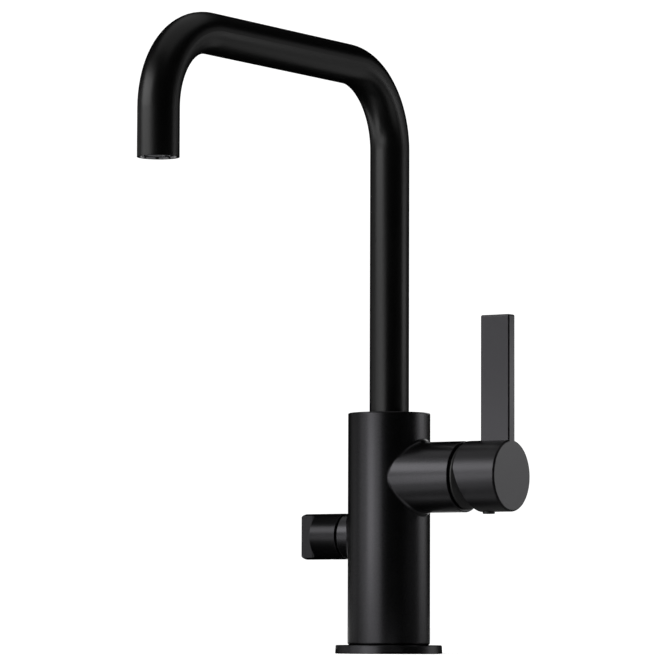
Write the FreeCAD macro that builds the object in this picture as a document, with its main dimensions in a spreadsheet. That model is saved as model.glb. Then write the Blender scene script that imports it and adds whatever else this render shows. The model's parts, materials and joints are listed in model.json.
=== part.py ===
import FreeCAD, Part
import math
import os
import re
import Sketcher

# A kitchen mixer tap: a round column on a rosette, a square-cornered swivel spout of bent tube, a side lever
# with a ceramic cartridge on the right and a dishwasher shut-off valve low on the left.
# The origin is the middle of the underside, on the worktop. +Z is up, the spout points along -Y, the lever
# stands on the +X side and the valve knob on the -X side. Lengths are in millimetres, angles in degrees.

SIZES = {
    # Base
    "rosette_diameter": 65.0,
    "rosette_thickness": 5.0,
    "rosette_taper": 0.25,
    "rosette_edge": 0.5,
    "gasket_inset": 2.0,
    "gasket_width": 4.5,
    "gasket_thickness": 1.5,
    # Column casting
    "column_diameter": 50.0,
    "column_height": 140.5,
    "column_top_edge": 0.8,
    "column_foot_edge": 1.5,
    "spigot_diameter": 44.0,
    "lever_height": 106.0,
    "boss_diameter": 42.8,
    "boss_reach": 54.5,
    "boss_edge": 0.6,
    "boss_blend": 2.5,
    "valve_height": 71.0,
    "valve_boss_diameter": 28.0,
    "valve_boss_reach": 29.4,
    # Ports and waterways
    "port_diameter": 9.0,
    "port_depth": 12.0,
    "channel_diameter": 7.0,
    "riser_diameter": 8.0,
    "riser_across": 10.0,
    "riser_aside": 6.5,
    "upper_riser_across": 15.5,
    "upper_riser_aside": 9.5,
    "riser_overlap": 4.0,
    "drain_across": 11.5,
    "stud_spacing": 24.0,
    "stud_hole_diameter": 5.0,
    "stud_hole_depth": 15.0,
    # Spout
    "tube_diameter": 24.0,
    "tube_wall": 1.5,
    "spout_reach": 240.0,
    "arm_height": 354.0,
    "outlet_height": 278.0,
    "bend_radius": 48.0,
    "tube_entry": 14.0,
    "socket_barrel": 28.0,
    "socket_spigot": 12.0,
    "socket_bore": 15.0,
    "socket_lead": 0.6,
    "outlet_chamber": 11.5,
    "bush_wall": 2.0,
    "bush_length": 12.0,
    "bush_recess": 0.4,
    "swivel_limit": 60.0,
    "stop_screw_diameter": 6.0,
    "stop_slot_depth": 2.0,
    "stop_drop": 10.5,
    "upper_ring_drop": 3.5,
    "lower_ring_drop": 20.0,
    "ring_section": 2.4,
    # Outlet and aerator
    "sleeve_wall": 0.9,
    "sleeve_length": 14.0,
    "sleeve_recess": 1.0,
    "sleeve_lip": 1.4,
    "jacket_wall": 1.2,
    "jacket_length": 10.5,
    "jacket_recess": 1.4,
    "jacket_lip": 0.8,
    "key_width": 2.0,
    "key_depth": 1.0,
    "core_thickness": 3.0,
    "core_hole": 1.7,
    "core_pitch": 2.5,
    "regulator_thickness": 4.0,
    "regulator_hole": 1.6,
    # Lever
    "lever_gap": 3.8,
    "hub_diameter": 42.8,
    "hub_length": 28.7,
    "hub_wall": 2.0,
    "hub_web": 19.1,
    "hub_edge": 1.2,
    "relief_angle": 17.0,
    "relief_rise": 5.0,
    "blade_depth": 20.0,
    "blade_thickness": 7.1,
    "blade_height": 96.5,
    "blade_edge": 1.0,
    "plug_diameter": 7.3,
    "plug_seat": 2.5,
    "plug_proud": 1.1,
    "plug_setback": 16.2,
    "grub_diameter": 5.0,
    "hex_socket": 2.5,
    # Lever cartridge
    "cartridge_diameter": 35.0,
    "cartridge_wall": 2.5,
    "base_thickness": 4.0,
    "disc_thickness": 4.0,
    "moving_disc_diameter": 22.0,
    "slider_thickness": 4.0,
    "slider_key": 1.6,
    "carrier_flange": 4.0,
    "carrier_flange_diameter": 28.8,
    "carrier_neck_diameter": 20.8,
    "carrier_slot": 13.0,
    "case_roof": 2.4,
    "case_collar": 3.5,
    "case_collar_wall": 3.0,
    "carrier_proud": 1.0,
    "pivot_depth": 4.0,
    "pin_diameter": 3.0,
    "pin_length": 19.0,
    "spindle_side": 7.0,
    "spindle_heel": 3.5,
    "spindle_socket": 11.5,
    "ball_diameter": 5.0,
    "ball_arm": 7.5,
    "ball_neck": 2.8,
    "inlet_aside": 7.0,
    "inlet_rise": 4.0,
    "mixed_drop": 8.0,
    "seal_section": 1.5,
    "nut_wall": 1.35,
    "nut_length": 8.5,
    "nut_recess": 1.05,
    "nut_bore_gap": 0.5,
    "cap_clearance": 0.8,
    "cap_groove": 1.0,
    "cap_flange": 0.8,
    "cap_wall": 1.6,
    "cap_mouth": 27.0,
    # Dishwasher valve
    "valve_pocket": 20.0,
    "valve_seat": 8.0,
    "valve_seal_thickness": 1.5,
    "valve_seal_bore": 9.0,
    "valve_disc_thickness": 3.0,
    "valve_sleeve_wall": 1.45,
    "valve_stem_diameter": 8.0,
    "valve_flange": 4.0,
    "valve_square": 5.6,
    "valve_square_length": 12.0,
    "valve_ring_section": 1.6,
    "valve_ring_place": 25.0,
    "valve_port": 4.0,
    "valve_window": 5.0,
    "knob_gap": 1.3,
    "knob_diameter": 28.0,
    "knob_length": 29.6,
    "knob_edge": 1.2,
    "knob_rim": 0.5,
    "knob_shoulder": 18.2,
    "paddle_thickness": 11.0,
    "paddle_root": 4.0,
    "knob_recess": 3.0,
    "knob_recess_wall": 2.5,
    "knob_screw_diameter": 4.0,
    "knob_screw_place": 8.0,
    "knob_screw_sink": 0.8,
    # Fits
    "running_gap": 0.1,
    "fit_gap": 0.05,
    "disc_gap": 0.05,
    "free_gap": 0.4,
}

# Places and radii that follow from the sizes.
PLACES = {
    "rosette_radius": "rosette_diameter / 2",
    "gasket_outer": "rosette_radius - gasket_inset",
    "gasket_inner": "gasket_outer - gasket_width",
    "column_radius": "column_diameter / 2",
    "column_top": "rosette_thickness + column_height",
    "boss_radius": "boss_diameter / 2",
    "tube_radius": "tube_diameter / 2",
    "tube_inside": "tube_radius - tube_wall",
    "spout_bore": "tube_radius + running_gap",
    "bush_outer": "spout_bore + bush_wall",
    "tube_end": "column_top - tube_entry",
    "socket_end": "tube_end - socket_barrel",
    "chamber_floor": "socket_end - outlet_chamber",
    "stop_height": "tube_end - stop_drop",
    "stop_tip": "tube_radius - stop_slot_depth + running_gap",
    "stop_tip_radius": "stop_screw_diameter / 2 - running_gap",
    "ring_groove": "tube_radius - ring_section",
    "sleeve_inside": "tube_inside - sleeve_wall",
    "sleeve_top": "sleeve_recess + sleeve_length",
    "jacket_outside": "sleeve_inside - fit_gap",
    "jacket_inside": "jacket_outside - jacket_wall",
    "jacket_top": "jacket_recess + jacket_length",
    "washer_top": "sleeve_top - sleeve_lip",
    "bend_used": "min(bend_radius; arm_height - outlet_height - sleeve_top - free_gap)",
    "nut_end": "boss_reach - nut_recess",
    "case_shoulder": "nut_end - nut_length",
    "case_top": "case_shoulder + case_collar",
    "pivot_place": "case_top - pivot_depth",
    "roof_low": "case_shoulder - case_roof",
    "carrier_top": "roof_low - running_gap",
    "carrier_low": "carrier_top - carrier_flange",
    "slider_top": "carrier_low - free_gap",
    "moving_top": "slider_top - slider_thickness",
    "moving_low": "moving_top - disc_thickness",
    "fixed_top": "moving_low - disc_gap",
    "base_top": "fixed_top - disc_thickness",
    "cartridge_seat": "base_top - base_thickness",
    "carrier_end": "case_top + carrier_proud",
    "carrier_neck": "carrier_neck_diameter / 2",
    "case_bore": "carrier_neck + running_gap",
    "case_collar_radius": "case_bore + case_collar_wall",
    "cartridge_radius": "cartridge_diameter / 2",
    "case_inside": "cartridge_radius - cartridge_wall",
    "cavity_radius": "cartridge_radius + fit_gap",
    "nut_radius": "cartridge_radius + nut_wall",
    "ball_place": "pivot_place - ball_arm",
    "ball_radius": "ball_diameter / 2",
    "heel_place": "pivot_place - spindle_heel",
    "hub_rear": "boss_reach + lever_gap",
    "hub_end": "hub_rear + hub_length",
    "hub_radius": "hub_diameter / 2",
    "hub_ceiling": "max(hub_end - hub_web; pivot_place + cap_sphere + free_gap)",
    "hub_inside": "hub_radius - hub_wall",
    "plug_place": "hub_end - plug_setback",
    "plug_radius": "plug_diameter / 2",
    "cap_low": "boss_reach + cap_groove",
    "cap_rim": "cap_low + cap_flange",
    "cap_sphere": "hypot(hub_inside; hub_rear - pivot_place) - cap_clearance",
    "cap_radius": "cath(cap_sphere; cap_rim - pivot_place)",
    "cap_inside": "cap_sphere - cap_wall",
    "mouth_radius": "cap_mouth / 2",
    "foot_inside": "nut_radius - cap_wall",
    "seal_radius": "channel_diameter / 2 + seal_section / 2 + fit_gap",
    "valve_radius": "valve_pocket / 2",
    "valve_sleeve_radius": "valve_radius - fit_gap",
    "valve_bore": "valve_sleeve_radius - valve_sleeve_wall",
    "valve_stem": "valve_stem_diameter / 2",
    "valve_disc_low": "valve_seat + valve_seal_thickness",
    "valve_disc_top": "valve_disc_low + valve_disc_thickness",
    "valve_turn_low": "valve_disc_top + disc_gap",
    "valve_turn_top": "valve_turn_low + valve_disc_thickness",
    "valve_flange_top": "valve_turn_top + valve_flange",
    "valve_roof": "valve_flange_top + running_gap",
    "knob_start": "valve_boss_reach + knob_gap",
    "knob_end": "knob_start + knob_length",
    "knob_radius": "knob_diameter / 2",
    "valve_square_start": "knob_start + knob_recess",
}

NAME = re.compile(r"[a-z]+(?:_[a-z]+)+")
# Two places nearer than this count as one.
TOUCH = 0.001
SADDLE_POINTS = 9
doc = FreeCAD.newDocument("KitchenMixerTap")
sheet = doc.addObject("Spreadsheet::Sheet", "Sizes")


def fill_sheet():
    """Write each driving size into the sheet, under its own alias."""
    for row, (name, size) in enumerate(SIZES.items(), start=1):
        sheet.set(f"A{row}", name.replace("_", " "))
        sheet.set(f"B{row}", str(size))
        sheet.setAlias(f"B{row}", name)
    doc.recompute()


def full(text):
    """Spell out an expression: sizes become cells of the sheet, places become their own expressions."""
    def spell(match):
        name = match.group(0)
        return f"({full(PLACES[name])})" if name in PLACES else f"Sizes.{name}"
    return NAME.sub(spell, text)


def value(text):
    """The number that an expression has now."""
    number = sheet.evalExpression(full(text))
    return float(getattr(number, "Value", number))


def bind(thing, prop, text):
    """Tie a property to an expression on the sheet."""
    thing.setExpression(prop, full(text))


def put(thing, x="0", y="0", z="0", turn=None):
    """Place a piece; turn is an axis and an angle."""
    if turn:
        axis, angle = turn
        thing.Placement.Rotation = FreeCAD.Rotation(FreeCAD.Vector(*axis), angle)
    for prop, text in (("x", x), ("y", y), ("z", z)):
        bind(thing, f"Placement.Base.{prop}", text)
    return thing


def new_body(label):
    body = doc.addObject("PartDesign::Body", label)
    body.Label = label
    return body


def lever_body(label):
    """A body on the lever's axis, with x measured outwards from the column's axis."""
    return put(new_body(label), z="lever_height")


def valve_body(label):
    """A body on the valve's axis, with x measured outwards from the column's axis."""
    return put(new_body(label), z="valve_height", turn=((0, 0, 1), 180))


def outlet_body(label):
    """A body on the outlet's axis, with z measured upwards from the end of the spout."""
    return put(new_body(label), y="-spout_reach", z="outlet_height")


def new_sketch(body, plane, offset="0"):
    """A sketch on one of the body's own planes, moved along the plane's normal."""
    sketch = body.newObject("Sketcher::SketchObject", f"{body.Name}_sketch")
    origin = next(part for part in body.Origin.OriginFeatures if part.Role == plane)
    sketch.AttachmentSupport = (origin, [""])
    sketch.MapMode = "FlatFace"
    if offset != "0":
        bind(sketch, "AttachmentOffset.Base.z", offset)
    return sketch


def pin(sketch, geometry, vertex, u, v):
    """Hold a sketch point at the expressions u and v."""
    for kind, text, axis in (("DistanceX", u, -2), ("DistanceY", v, -1)):
        if text == "0":
            sketch.addConstraint(Sketcher.Constraint("PointOnObject", geometry, vertex, axis))
            continue
        number = sketch.addConstraint(Sketcher.Constraint(kind, -1, 1, geometry, vertex, value(text)))
        bind(sketch, f"Constraints[{number}]", text)


def arc_between(start, end, radius, turn):
    """The arc under a half circle from start to end; turn is 1 anticlockwise and -1 clockwise."""
    chord = end - start
    reach = math.sqrt(max(radius * radius - chord.Length ** 2 / 4, 0))
    side = FreeCAD.Vector(-chord.y, chord.x, 0).normalize() * turn
    centre = (start + end) * 0.5 + side * reach
    first, last = (start, end) if turn > 0 else (end, start)
    angles = [math.atan2(point.y - centre.y, point.x - centre.x) for point in (first, last)]
    return Part.ArcOfCircle(Part.Circle(centre, FreeCAD.Vector(0, 0, 1), radius), *angles)


def draw(sketch, corners, closed=True):
    """Draw a profile. A corner (u, v) is reached by a line, and (u, v, radius, turn) by an arc."""
    spots = [FreeCAD.Vector(value(corner[0]), value(corner[1]), 0) for corner in corners]
    sides = []
    for number in range(0 if closed else 1, len(corners)):
        corner, start, end = corners[number], spots[number - 1], spots[number]
        if len(corner) == 2:
            sides.append((sketch.addGeometry(Part.LineSegment(start, end)), 1, 2))
            continue
        geometry = sketch.addGeometry(arc_between(start, end, value(corner[2]), corner[3]))
        sides.append((geometry, 1, 2) if corner[3] > 0 else (geometry, 2, 1))
        bent = sketch.addConstraint(Sketcher.Constraint("Radius", geometry, value(corner[2])))
        bind(sketch, f"Constraints[{bent}]", corner[2])
    pairs = list(zip(sides, sides[1:] + sides[:1])) if closed else list(zip(sides, sides[1:]))
    for (one, _, tail), (other, head, _) in pairs:
        sketch.addConstraint(Sketcher.Constraint("Coincident", one, tail, other, head))
    ends = corners if closed else corners[1:]
    for (geometry, _, tail), corner in zip(sides, ends):
        pin(sketch, geometry, tail, corner[0], corner[1])
    if not closed:
        pin(sketch, sides[0][0], sides[0][1], corners[0][0], corners[0][1])
    return sketch


def draw_circle(sketch, u, v, radius):
    """Draw a circle about u, v."""
    middle = FreeCAD.Vector(value(u), value(v), 0)
    circle = sketch.addGeometry(Part.Circle(middle, FreeCAD.Vector(0, 0, 1), value(radius)))
    pin(sketch, circle, 3, u, v)
    number = sketch.addConstraint(Sketcher.Constraint("Radius", circle, value(radius)))
    bind(sketch, f"Constraints[{number}]", radius)
    return sketch


def box_corners(low_u, low_v, high_u, high_v):
    """The corners of a rectangle."""
    return [(low_u, low_v), (high_u, low_v), (high_u, high_v), (low_u, high_v)]


def revolve(body, corners, axis):
    """Turn a profile drawn on the XZ plane about its H_Axis (x) or V_Axis (z)."""
    sketch = draw(new_sketch(body, "XZ_Plane"), corners)
    feature = body.newObject("PartDesign::Revolution", f"{body.Name}_turned")
    feature.Profile = sketch
    feature.ReferenceAxis = (sketch, [axis])
    feature.Angle = 360
    return body


def pad(body, sketch, length, both_ways=False, backwards=False):
    """Raise a sketch along its normal, backwards or evenly both ways."""
    feature = body.newObject("PartDesign::Pad", f"{body.Name}_pad")
    feature.Profile = sketch
    feature.SideType = "Symmetric" if both_ways else "One side"
    feature.Reversed = backwards
    bind(feature, "Length", length)
    return feature


def pocket(body, sketch, length, both_ways=False, forwards=False):
    """Cut a sketch against its normal, forwards or evenly both ways; the cut has to take something away."""
    doc.recompute()
    before = body.Shape.Volume
    feature = body.newObject("PartDesign::Pocket", f"{body.Name}_pocket")
    feature.Profile = sketch
    feature.SideType = "Symmetric" if both_ways else "One side"
    feature.Reversed = forwards
    bind(feature, "Length", length)
    doc.recompute()
    if body.Shape.Volume >= before:
        raise RuntimeError(f"{feature.Name} cuts nothing")
    return feature


def drill(body, plane, u, v, radius, start, depth, forwards):
    """Bore a round hole from a place on a plane's normal, forwards along it or backwards."""
    sketch = draw_circle(new_sketch(body, plane, start), u, v, radius)
    return pocket(body, sketch, depth, forwards=forwards)


def round_edges(body, radius, wanted):
    """Round each edge that the test picks out."""
    doc.recompute()
    base = body.Tip
    edges = [f"Edge{number}" for number, edge in enumerate(body.Tip.Shape.Edges, start=1) if wanted(edge)]
    if not edges:
        raise RuntimeError(f"{body.Label} has no such edge to round")
    feature = body.newObject("PartDesign::Fillet", f"{body.Name}_rounding")
    feature.Base = (base, edges)
    bind(feature, "Radius", radius)
    return feature


def is_ring(edge, axis, place, radius):
    """True for a full circle at a place on the x or z axis."""
    curve = edge.Curve
    if not isinstance(curve, Part.Circle) or abs(curve.Radius - radius) > TOUCH:
        return False
    in_place = abs(getattr(edge.CenterOfMass, axis) - place) < TOUCH
    return in_place and abs(edge.Length - 2 * math.pi * radius) < TOUCH


def blend_boss(body, radius, height, room):
    """Hollow rounding where a boss leaves the column's side, as far as there is room for it."""
    if value(room) < TOUCH:
        return

    def is_saddle(edge):
        points = edge.discretize(SADDLE_POINTS)
        off_boss = max(abs(math.hypot(point.y, point.z - value(height)) - value(radius)) for point in points)
        off_column = max(abs(math.hypot(point.x, point.y) - value("column_radius")) for point in points)
        return max(off_boss, off_column) < TOUCH
    round_edges(body, f"min(boss_blend; {room})", is_saddle)


def base_rosette():
    """The loose rosette round the column's spigot, with the groove for its gasket."""
    groove_in, groove_out = "gasket_inner - fit_gap", "gasket_outer + fit_gap"
    revolve(new_body("base_rosette"), [
        ("spigot_diameter / 2 + running_gap", "0"), (groove_in, "0"), (groove_in, "gasket_thickness"),
        (groove_out, "gasket_thickness"), (groove_out, "0"), ("rosette_radius", "0"),
        ("rosette_radius - rosette_taper", "rosette_thickness - rosette_edge"),
        ("rosette_radius - rosette_taper - rosette_edge", "rosette_thickness"),
        ("spigot_diameter / 2 + running_gap", "rosette_thickness")], "V_Axis")


def base_gasket():
    """The flat ring that seals the rosette to the worktop."""
    section = box_corners("gasket_inner", "0", "gasket_outer", "gasket_thickness")
    revolve(new_body("base_gasket"), section, "V_Axis")


def column_body():
    """The casting: column, lever boss and valve boss, bored for spout, cartridge, valve and water."""
    body = revolve(new_body("column_body"), [
        ("0", "0"), ("spigot_diameter / 2", "0"), ("spigot_diameter / 2", "rosette_thickness"),
        ("column_radius - column_foot_edge", "rosette_thickness"),
        ("column_radius", "rosette_thickness + column_foot_edge", "column_foot_edge", 1),
        ("column_radius", "column_top - column_top_edge"),
        ("column_radius - column_top_edge", "column_top", "column_top_edge", 1),
        ("0", "column_top")], "V_Axis")
    pad(body, draw_circle(new_sketch(body, "YZ_Plane"), "0", "lever_height", "boss_radius"), "boss_reach")
    valve_boss = draw_circle(new_sketch(body, "YZ_Plane"), "0", "valve_height", "valve_boss_diameter / 2")
    pad(body, valve_boss, "valve_boss_reach", backwards=True)
    blend_boss(body, "boss_radius", "lever_height", "column_top - column_top_edge - lever_height - boss_radius")
    blend_boss(body, "valve_boss_diameter / 2", "valve_height", "(valve_boss_reach - column_radius) / 2")
    round_edges(body, "boss_edge", lambda edge: is_ring(edge, "x", value("boss_reach"), value("boss_radius"))
                or is_ring(edge, "x", -value("valve_boss_reach"), value("valve_boss_diameter / 2")))
    # Spout bore and the wider seat of its bush
    drill(body, "XY_Plane", "0", "0", "spout_bore", "column_top", "column_top - chamber_floor", False)
    drill(body, "XY_Plane", "0", "0", "bush_outer", "column_top", "bush_length + bush_recess", False)
    drill(body, "XZ_Plane", "0", "stop_height", "stop_screw_diameter / 2", "0", "column_radius", False)
    # Cartridge cavity and the wider thread of its nut
    drill(body, "YZ_Plane", "0", "lever_height", "cavity_radius", "cartridge_seat",
          "boss_reach - cartridge_seat", True)
    drill(body, "YZ_Plane", "0", "lever_height", "nut_radius + fit_gap", "case_shoulder - free_gap",
          "boss_reach - case_shoulder + free_gap", True)
    # Valve pocket
    drill(body, "YZ_Plane", "0", "valve_height", "valve_radius", "-valve_seat",
          "valve_boss_reach - valve_seat", False)
    bore_waterways(body)


def bore_waterways(body):
    """Ports in the underside and the channels from them to the cartridge, the valve and the spout."""
    channel = "channel_diameter / 2"
    upper_low = "chamber_floor - riser_overlap - riser_diameter / 2"
    inlet_height = "lever_height + inlet_rise"
    for side in ("", "-"):
        port = ("riser_across", f"{side}riser_aside")
        drill(body, "XY_Plane", *port, "port_diameter / 2", "0", "port_depth", True)
        drill(body, "XY_Plane", *port, "riser_diameter / 2", "0", "chamber_floor - riser_overlap", True)
        drill(body, "XY_Plane", "upper_riser_across", f"{side}upper_riser_aside", channel, upper_low,
              f"{inlet_height} + channel_diameter - ({upper_low})", True)
        drill(body, "YZ_Plane", f"{side}inlet_aside", inlet_height, channel, "cartridge_seat",
              "cartridge_seat - upper_riser_across", False)
        drill(body, "XY_Plane", "0", f"{side}stud_spacing / 2", "stud_hole_diameter / 2", "0",
              "stud_hole_depth", True)
    drill(body, "YZ_Plane", "0", "lever_height - mixed_drop", channel, "cartridge_seat",
          "cartridge_seat - spout_bore / 2", False)
    drill(body, "XY_Plane", "-drain_across", "0", "port_diameter / 2", "0", "port_depth", True)
    drill(body, "XY_Plane", "-drain_across", "0", channel, "0", "valve_height - valve_radius / 2", True)
    drill(body, "YZ_Plane", "-riser_aside / 2", "valve_height", "valve_port / 2", "-valve_seat",
          "valve_seat + riser_across", True)


def spout_tube():
    """The bent tube: riser, arm and short drop, hollow all along."""
    body = new_body("spout_tube")
    path = draw(new_sketch(body, "YZ_Plane"), [
        ("0", "tube_end"), ("0", "arm_height - (bend_used)"), ("-(bend_used)", "arm_height", "bend_used", 1),
        ("bend_used - spout_reach", "arm_height"),
        ("-spout_reach", "arm_height - (bend_used)", "bend_used", 1),
        ("-spout_reach", "outlet_height")], closed=False)
    section = draw_circle(new_sketch(body, "XY_Plane", "tube_end"), "0", "0", "tube_radius")
    draw_circle(section, "0", "0", "tube_inside")
    doc.recompute()
    pipe = body.newObject("PartDesign::AdditivePipe", "spout_tube_bent")
    pipe.Profile = section
    pipe.Spine = (path, [])


def spout_socket():
    """The turned foot brazed into the tube, with two ring grooves and the slot that stops the swivel."""
    def groove(drop):
        height, half = f"tube_end - {drop}", "ring_section / 2 + running_gap"
        return [("tube_radius", f"{height} - ({half})"), ("ring_groove", f"{height} - ({half})"),
                ("ring_groove", f"{height} + {half}"), ("tube_radius", f"{height} + {half}")]
    bore = "socket_bore / 2"
    body = revolve(new_body("spout_socket"), [
        (bore, "socket_end"), ("tube_radius - socket_lead", "socket_end"),
        ("tube_radius", "socket_end + socket_lead"),
        *groove("lower_ring_drop"), *groove("upper_ring_drop"), ("tube_radius", "tube_end"),
        ("tube_inside", "tube_end"), ("tube_inside", "tube_end + socket_spigot"),
        (bore, "tube_end + socket_spigot")], "V_Axis")
    half = "(stop_screw_diameter / 2)"
    slot = draw(new_sketch(body, "YZ_Plane"), box_corners(
        "tube_radius - stop_slot_depth", f"stop_height - {half}", "tube_radius + stop_slot_depth",
        f"stop_height + {half}"))
    doc.recompute()
    cut = body.newObject("PartDesign::Groove", "spout_socket_stop")
    cut.Profile = slot
    cut.ReferenceAxis = (slot, ["V_Axis"])
    cut.Midplane = True
    bind(cut, "Angle", "2 * (swivel_limit * 1 deg + asin((stop_tip_radius + free_gap) / stop_tip))")


def spout_o_rings():
    """Two rings in the socket's grooves."""
    rings = []
    for drop in ("upper_ring_drop", "lower_ring_drop"):
        ring = put(doc.addObject("Part::Torus", f"o_ring_{drop}"), z=f"tube_end - {drop}")
        bind(ring, "Radius1", "tube_radius - ring_section / 2 + fit_gap")
        bind(ring, "Radius2", "ring_section / 2")
        rings.append(ring)
    group = doc.addObject("Part::Compound", "spout_o_rings")
    group.Links = rings
    group.Label = "spout_o_rings"


def spout_bush():
    """The slide bush between the tube and the column's mouth."""
    low, top = "column_top - bush_recess - bush_length", "column_top - bush_recess"
    revolve(new_body("spout_bush"), box_corners("spout_bore", low, "bush_outer - fit_gap", top), "V_Axis")


def grub_screw(label, radius, length, tip_radius, tip_length, socket):
    """A headless screw along z, tip at the origin, with a hexagon socket in its far end."""
    body = revolve(new_body(label), [
        ("0", "0"), (tip_radius, "0"), (tip_radius, tip_length), (radius, tip_length), (radius, length),
        ("0", length)], "V_Axis")
    corner = f"({socket}) / 2 / cos(30)"
    corners = [(f"{corner} * cos({60 * turn})", f"{corner} * sin({60 * turn})") for turn in range(6)]
    pocket(body, draw(new_sketch(body, "XY_Plane", length), corners), f"({length}) / 3")
    return body


def spout_stop_screw():
    """The screw in the back of the column whose tip rides in the socket's slot."""
    screw = grub_screw("spout_stop_screw", "stop_screw_diameter / 2 - fit_gap",
                       "column_radius - stop_tip - free_gap", "stop_tip_radius",
                       "spout_bore - stop_tip + free_gap", "hex_socket")
    put(screw, y="stop_tip", z="stop_height", turn=((1, 0, 0), -90))


def outlet_sleeve():
    """The threaded sleeve brazed into the end of the tube, with a lip for the washer."""
    revolve(outlet_body("outlet_sleeve"), [
        ("sleeve_inside", "sleeve_recess"), ("tube_inside", "sleeve_recess"), ("tube_inside", "sleeve_top"),
        ("jacket_inside", "sleeve_top"), ("jacket_inside", "washer_top"),
        ("sleeve_inside", "washer_top")], "V_Axis")


def aerator_jacket():
    """The screwed jacket of the aerator, with a lip at its foot and four notches for a key."""
    body = revolve(outlet_body("aerator_jacket"), [
        ("jacket_inside - jacket_lip", "jacket_recess"), ("jacket_outside", "jacket_recess"),
        ("jacket_outside", "jacket_top"), ("jacket_inside", "jacket_top"),
        ("jacket_inside", "jacket_recess + jacket_lip"),
        ("jacket_inside - jacket_lip", "jacket_recess + jacket_lip")], "V_Axis")
    half, far = "key_width / 2", "jacket_outside + key_width"
    for long, wide in ((far, half), (half, far)):
        notch = box_corners(f"-({long})", f"-({wide})", long, wide)
        pocket(body, draw(new_sketch(body, "XY_Plane", "jacket_recess"), notch), "key_depth", forwards=True)


def holed_plate(body, radius, low, thickness, hole, pitch, rings):
    """A round plate with a middle hole and rings of holes about it."""
    revolve(body, box_corners("0", low, radius, f"{low} + {thickness}"), "V_Axis")
    sketch = draw_circle(new_sketch(body, "XY_Plane", low), "0", "0", f"{hole} / 2")
    for ring in range(1, rings + 1):
        for step in range(6 * ring):
            turn = 60 / ring * step
            spot = [f"{ring} * {pitch} * {wave}({turn:.3f})" for wave in ("cos", "sin")]
            draw_circle(sketch, *spot, f"{hole} / 2")
    pocket(body, sketch, thickness, forwards=True)


def aerator_core():
    """The holed disc that shows in the outlet."""
    holed_plate(outlet_body("aerator_core"), "jacket_inside - fit_gap", "jacket_recess + jacket_lip",
                "core_thickness", "core_hole", "core_pitch", 3)


def aerator_regulator():
    """The flow regulator on top of the core."""
    low = "jacket_recess + jacket_lip + core_thickness + fit_gap"
    holed_plate(outlet_body("aerator_regulator"), "jacket_inside - fit_gap", low, "regulator_thickness",
                "regulator_hole", "core_pitch", 2)


def aerator_washer():
    """The rubber washer between the jacket and the sleeve's lip."""
    revolve(outlet_body("aerator_washer"), box_corners(
        "jacket_inside", "jacket_top", "jacket_outside", "washer_top"), "V_Axis")


def lever_handle():
    """Hub and blade in one casting, hollow behind, its lower rear cut back so that it can tilt."""
    body = revolve(lever_body("lever_handle"), [
        ("hub_rear", "hub_inside"), ("hub_rear", "hub_radius"), ("hub_end - hub_edge", "hub_radius"),
        ("hub_end", "hub_radius - hub_edge", "hub_edge", -1), ("hub_end", "0"), ("hub_ceiling", "0"),
        ("hub_ceiling", "hub_inside")], "H_Axis")
    low = "-(hub_radius + hub_edge)"
    relief = draw(new_sketch(body, "XZ_Plane"), [
        ("hub_rear", "relief_rise"), ("hub_rear - hub_edge", "relief_rise"), ("hub_rear - hub_edge", low),
        (f"hub_rear + (relief_rise - ({low})) * tan(relief_angle)", low)])
    pocket(body, relief, "hub_diameter + 2 * hub_edge", both_ways=True)
    half, edge = "blade_thickness / 2", "blade_edge"
    rear, root = "hub_end - blade_depth", "(hub_inside + hub_radius - hub_edge) / 2"
    blade = draw(new_sketch(body, "XY_Plane", root), [
        (f"{rear} + {edge}", f"-{half}", edge, 1), (f"hub_end - {edge}", f"-{half}"),
        ("hub_end", f"{edge} - {half}", edge, 1), ("hub_end", f"{half} - {edge}"),
        (f"hub_end - {edge}", half, edge, 1), (f"{rear} + {edge}", half),
        (rear, f"{half} - {edge}", edge, 1), (rear, f"{edge} - {half}")])
    pad(body, blade, f"blade_height - ({root})")
    tip = value("blade_height")
    round_edges(body, "blade_edge", lambda edge: edge.BoundBox.ZMin > tip - TOUCH)
    side = "(spindle_side / 2 + fit_gap)"
    square = box_corners(f"-{side}", f"-{side}", side, side)
    socket = draw(new_sketch(body, "YZ_Plane", "hub_ceiling"), square)
    pocket(body, socket, "spindle_socket", forwards=True)
    drill(body, "XY_Plane", "plug_place", "0", "plug_radius + fit_gap", "-hub_radius", "plug_seat", True)
    drill(body, "XY_Plane", "plug_place", "0", "grub_diameter / 2 + fit_gap", "-hub_radius",
          "hub_radius", True)


def lever_plug():
    """The plug that covers the lever's screw, slightly proud of the hub."""
    length, edge = "plug_seat + plug_proud", "plug_proud / 2"
    body = revolve(new_body("lever_plug"), [
        ("0", "0"), ("plug_radius", "0"), ("plug_radius", f"{length} - {edge}"),
        (f"plug_radius - {edge}", length, edge, 1), ("0", length)], "V_Axis")
    put(body, x="plug_place", z="lever_height - hub_radius + plug_seat", turn=((1, 0, 0), 180))


def lever_grub_screw():
    """The screw that clamps the lever on its spindle."""
    screw = grub_screw("lever_grub_screw", "grub_diameter / 2",
                       "hub_radius - plug_seat - spindle_side / 2 - free_gap",
                       "grub_diameter / 2 - free_gap", "free_gap", "hex_socket")
    put(screw, x="plug_place", z="lever_height - spindle_side / 2", turn=((1, 0, 0), 180))


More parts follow.
